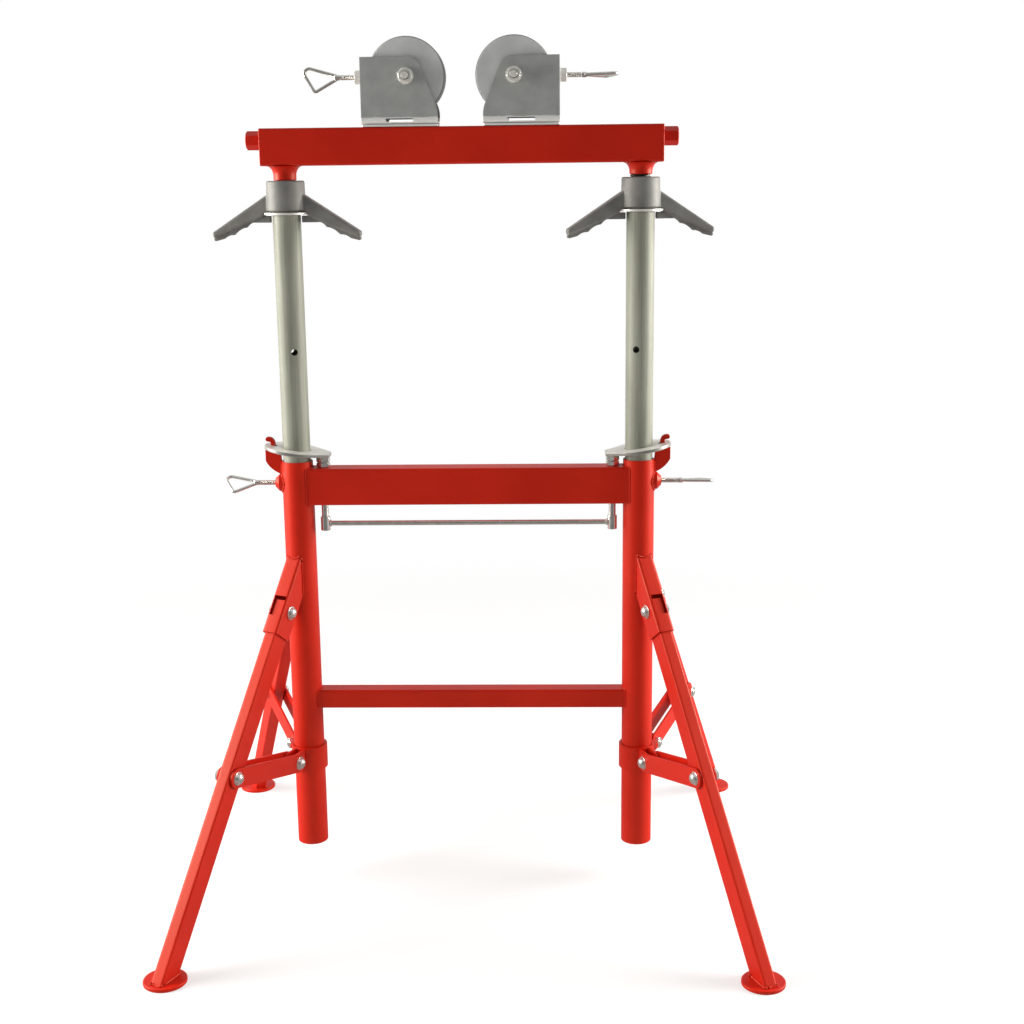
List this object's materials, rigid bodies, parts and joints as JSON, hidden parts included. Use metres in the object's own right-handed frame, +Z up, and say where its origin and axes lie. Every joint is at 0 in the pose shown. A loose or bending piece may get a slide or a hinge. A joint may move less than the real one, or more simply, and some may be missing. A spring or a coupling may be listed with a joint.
{
  "type": "roller stand",
  "caption": "Folding roller stand for pipe: red frame with splayed folding legs, telescoping posts and a top rail with paired steel rollers opened by a lead screw.",
  "frame": {"origin": "on the floor, midway between the four feet", "axes": "+Z up, +X to the right along the rails, front towards -Y"},
  "size_m": [0.9134, 0.7622, 1.3165],
  "materials": {
    "red_paint": "gloss powder coat",
    "zinc_tube": "satin galvanised",
    "bracket_steel": "satin plated sheet",
    "roller_steel": "satin turned steel",
    "cast_grey": "grey cast, matt",
    "bright_zinc": "bright zinc plate",
    "dark_steel": "blackened steel"
  },
  "bodies": {
    "base_frame": {"cross_rail": "red_paint", "lower_crossbar": "red_paint", "left_upright": "red_paint", "left_lock_hook": "red_paint", "left_front_leg_bracket": "red_paint", "left_front_leg_pivot": "bright_zinc", "left_rear_leg_bracket": "red_paint", "left_rear_leg_pivot": "bright_zinc", "right_upright": "red_paint", "right_lock_hook": "red_paint", "right_front_leg_bracket": "red_paint", "right_front_leg_pivot": "bright_zinc", "right_rear_leg_bracket": "red_paint", "right_rear_leg_pivot": "bright_zinc"},
    "left_post": {"left_post": "zinc_tube", "left_thrust_washer": "bright_zinc"},
    "left_handle": {"left_handle": "cast_grey"},
    "right_post": {"right_post": "zinc_tube", "right_thrust_washer": "bright_zinc"},
    "right_handle": {"right_handle": "cast_grey"},
    "top_rail": {"top_rail": "red_paint", "left_jack_screw": "red_paint", "right_jack_screw": "red_paint"},
    "lead_screw": {"lead_screw": "red_paint"},
    "left_carriage": {"left_roller_bracket": "bracket_steel", "left_traveller_nut": "dark_steel", "left_axle_bolt": "bright_zinc"},
    "left_roller": {"left_roller": "roller_steel"},
    "left_brake_stud": {"left_brake_stud": "bright_zinc"},
    "left_brake_loop": {"left_brake_loop": "bright_zinc"},
    "left_clamp_stud": {"left_clamp_stud": "bright_zinc"},
    "left_clamp_loop": {"left_clamp_loop": "bright_zinc"},
    "left_lock_plate": {"left_lock_plate": "bright_zinc"},
    "right_carriage": {"right_roller_bracket": "bracket_steel", "right_traveller_nut": "dark_steel", "right_axle_bolt": "bright_zinc"},
    "right_roller": {"right_roller": "roller_steel"},
    "right_brake_stud": {"right_brake_stud": "bright_zinc"},
    "right_brake_loop": {"right_brake_loop": "bright_zinc"},
    "right_clamp_stud": {"right_clamp_stud": "bright_zinc"},
    "right_clamp_loop": {"right_clamp_loop": "bright_zinc"},
    "right_lock_plate": {"right_lock_plate": "bright_zinc"},
    "release_bar": {"release_bar": "bright_zinc", "left_push_bolt": "bright_zinc", "right_push_bolt": "bright_zinc"},
    "left_front_leg": {"left_front_leg": "red_paint", "left_front_foot": "red_paint"},
    "left_front_link": {"left_front_link": "red_paint"},
    "left_rear_leg": {"left_rear_leg": "red_paint", "left_rear_foot": "red_paint"},
    "left_rear_link": {"left_rear_link": "red_paint"},
    "left_collar": {"left_collar": "red_paint"},
    "right_front_leg": {"right_front_leg": "red_paint", "right_front_foot": "red_paint"},
    "right_front_link": {"right_front_link": "red_paint"},
    "right_rear_leg": {"right_rear_leg": "red_paint", "right_rear_foot": "red_paint"},
    "right_rear_link": {"right_rear_link": "red_paint"},
    "right_collar": {"right_collar": "red_paint"}
  },
  "joints": [
    {"name": "left_post_slide", "type": "slide", "parent": "base_frame", "child": "left_post", "axis": [0, 0, 1], "range_m": [-0.315, 0.06]},
    {"name": "right_post_slide", "type": "slide", "parent": "base_frame", "child": "right_post", "axis": [0, 0, 1], "range_m": [-0.315, 0.06]},
    {"name": "rail_rise", "type": "slide", "parent": "left_post", "child": "top_rail", "axis": [0, 0, 1], "range_m": [0, 0.1]},
    {"name": "left_handle_turn", "type": "hinge", "parent": "left_post", "child": "left_handle", "pos_m": [-0.2645, 0, 1.068], "axis": [0, 0, -1], "range_deg": [0, 6000.5]},
    {"name": "right_handle_turn", "type": "hinge", "parent": "right_post", "child": "right_handle", "pos_m": [0.2645, 0, 1.068], "axis": [0, 0, -1], "range_deg": [0, 6000.5]},
    {"name": "left_carriage_slide", "type": "slide", "parent": "top_rail", "child": "left_carriage", "axis": [-1, 0, 0], "range_m": [-0.02, 0.14]},
    {"name": "right_carriage_slide", "type": "slide", "parent": "top_rail", "child": "right_carriage", "axis": [1, 0, 0], "range_m": [-0.02, 0.14]},
    {"name": "lead_screw_turn", "type": "hinge", "parent": "top_rail", "child": "lead_screw", "pos_m": [0, 0, 1.1723], "axis": [1, 0, 0], "range_deg": [-1800.5, 12600.5]},
    {"name": "left_roller_spin", "type": "hinge", "parent": "left_carriage", "child": "left_roller", "pos_m": [-0.0785, 0, 1.2605], "axis": [0, 1, 0], "continuous": true},
    {"name": "left_brake_stud_feed", "type": "slide", "parent": "left_carriage", "child": "left_brake_stud", "axis": [1, 0, 0], "range_m": [-0.006, 0.0007]},
    {"name": "left_brake_screw_turn", "type": "hinge", "parent": "left_brake_stud", "child": "left_brake_loop", "pos_m": [-0.1885, 0, 1.2605], "axis": [1, 0, 0], "range_deg": [-1728.5, 202.1]},
    {"name": "left_clamp_stud_feed", "type": "slide", "parent": "base_frame", "child": "left_clamp_stud", "axis": [1, 0, 0], "range_m": [-0.006, 0.0005]},
    {"name": "left_clamp_screw_turn", "type": "hinge", "parent": "left_clamp_stud", "child": "left_clamp_loop", "pos_m": [-0.3345, 0, 0.6554], "axis": [1, 0, 0], "range_deg": [-1728.5, 144.5]},
    {"name": "right_roller_spin", "type": "hinge", "parent": "right_carriage", "child": "right_roller", "pos_m": [0.0785, 0, 1.2605], "axis": [0, 1, 0], "continuous": true},
    {"name": "right_brake_stud_feed", "type": "slide", "parent": "right_carriage", "child": "right_brake_stud", "axis": [-1, 0, 0], "range_m": [-0.006, 0.0007]},
    {"name": "right_brake_screw_turn", "type": "hinge", "parent": "right_brake_stud", "child": "right_brake_loop", "pos_m": [0.1885, 0, 1.2605], "axis": [-1, 0, 0], "range_deg": [-1728.5, 202.1]},
    {"name": "right_clamp_stud_feed", "type": "slide", "parent": "base_frame", "child": "right_clamp_stud", "axis": [-1, 0, 0], "range_m": [-0.006, 0.0005]},
    {"name": "right_clamp_screw_turn", "type": "hinge", "parent": "right_clamp_stud", "child": "right_clamp_loop", "pos_m": [0.3345, 0, 0.6554], "axis": [-1, 0, 0], "range_deg": [-1728.5, 144.5]},
    {"name": "release_lift", "type": "slide", "parent": "base_frame", "child": "release_bar", "axis": [0, 0, 1], "range_m": [0, 0.0135]},
    {"name": "left_lock_plate_tilt", "type": "hinge", "parent": "base_frame", "child": "left_lock_plate", "pos_m": [-0.3005, 0, 0.71197], "axis": [0, -1, 0], "range_deg": [0, 8.8]},
    {"name": "right_lock_plate_tilt", "type": "hinge", "parent": "base_frame", "child": "right_lock_plate", "pos_m": [0.3005, 0, 0.71197], "axis": [0, 1, 0], "range_deg": [0, 8.8]},
    {"name": "left_leg_fold", "type": "hinge", "parent": "base_frame", "child": "left_front_leg", "pos_m": [-0.28748, -0.04997, 0.46], "axis": [0.9085, -0.4179, 0], "range_deg": [0, 14.7]},
    {"name": "left_front_link_swing", "type": "hinge", "parent": "left_front_leg", "child": "left_front_link", "pos_m": [-0.3525, -0.19132, 0.24548], "axis": [0.9085, -0.4179, 0], "range_deg": [-54.33, 0]},
    {"name": "left_rear_leg_fold", "type": "hinge", "parent": "base_frame", "child": "left_rear_leg", "pos_m": [-0.28748, 0.04997, 0.46], "axis": [-0.9085, -0.4179, 0], "range_deg": [0, 14.7]},
    {"name": "left_rear_link_swing", "type": "hinge", "parent": "left_rear_leg", "child": "left_rear_link", "pos_m": [-0.3525, 0.19132, 0.24548], "axis": [-0.9085, -0.4179, 0], "range_deg": [-54.33, 0]},
    {"name": "left_collar_slide", "type": "slide", "parent": "base_frame", "child": "left_collar", "axis": [0, 0, -1], "range_m": [0, 0.12697]},
    {"name": "right_leg_fold", "type": "hinge", "parent": "base_frame", "child": "right_front_leg", "pos_m": [0.28748, -0.04997, 0.46], "axis": [0.9085, 0.4179, 0], "range_deg": [0, 14.7]},
    {"name": "right_front_link_swing", "type": "hinge", "parent": "right_front_leg", "child": "right_front_link", "pos_m": [0.3525, -0.19132, 0.24548], "axis": [0.9085, 0.4179, 0], "range_deg": [-54.33, 0]},
    {"name": "right_rear_leg_fold", "type": "hinge", "parent": "base_frame", "child": "right_rear_leg", "pos_m": [0.28748, 0.04997, 0.46], "axis": [-0.9085, 0.4179, 0], "range_deg": [0, 14.7]},
    {"name": "right_rear_link_swing", "type": "hinge", "parent": "right_rear_leg", "child": "right_rear_link", "pos_m": [0.3525, 0.19132, 0.24548], "axis": [-0.9085, 0.4179, 0], "range_deg": [-54.33, 0]},
    {"name": "right_collar_slide", "type": "slide", "parent": "base_frame", "child": "right_collar", "axis": [0, 0, -1], "range_m": [0, 0.12697]}
  ],
  "couplings": [
    {"joint": "right_post_slide", "follows": "left_post_slide", "ratio": 1},
    {"joint": "left_handle_turn", "follows": "rail_rise", "rad_per_m": 1047.2},
    {"joint": "right_handle_turn", "follows": "rail_rise", "rad_per_m": 1047.2},
    {"joint": "right_carriage_slide", "follows": "left_carriage_slide", "ratio": 1},
    {"joint": "lead_screw_turn", "follows": "left_carriage_slide", "rad_per_m": 1570.8},
    {"joint": "left_brake_screw_turn", "follows": "left_brake_stud_feed", "rad_per_m": 5026.5},
    {"joint": "left_clamp_screw_turn", "follows": "left_clamp_stud_feed", "rad_per_m": 5026.5},
    {"joint": "right_brake_screw_turn", "follows": "right_brake_stud_feed", "rad_per_m": 5026.5},
    {"joint": "right_clamp_screw_turn", "follows": "right_clamp_stud_feed", "rad_per_m": 5026.5},
    {"joint": "left_lock_plate_tilt", "follows": "release_lift", "rad_per_m": 11.376},
    {"joint": "right_lock_plate_tilt", "follows": "release_lift", "rad_per_m": 11.376},
    {"joint": "left_front_link_swing", "follows": "left_leg_fold", "ratio": -3.6922},
    {"joint": "left_rear_leg_fold", "follows": "left_leg_fold", "ratio": 1},
    {"joint": "left_rear_link_swing", "follows": "left_leg_fold", "ratio": -3.6922},
    {"joint": "left_collar_slide", "follows": "left_leg_fold", "m_per_rad": 0.49482},
    {"joint": "right_front_link_swing", "follows": "right_leg_fold", "ratio": -3.6922},
    {"joint": "right_rear_leg_fold", "follows": "right_leg_fold", "ratio": 1},
    {"joint": "right_rear_link_swing", "follows": "right_leg_fold", "ratio": -3.6922},
    {"joint": "right_collar_slide", "follows": "right_leg_fold", "m_per_rad": 0.49482}
  ]
}
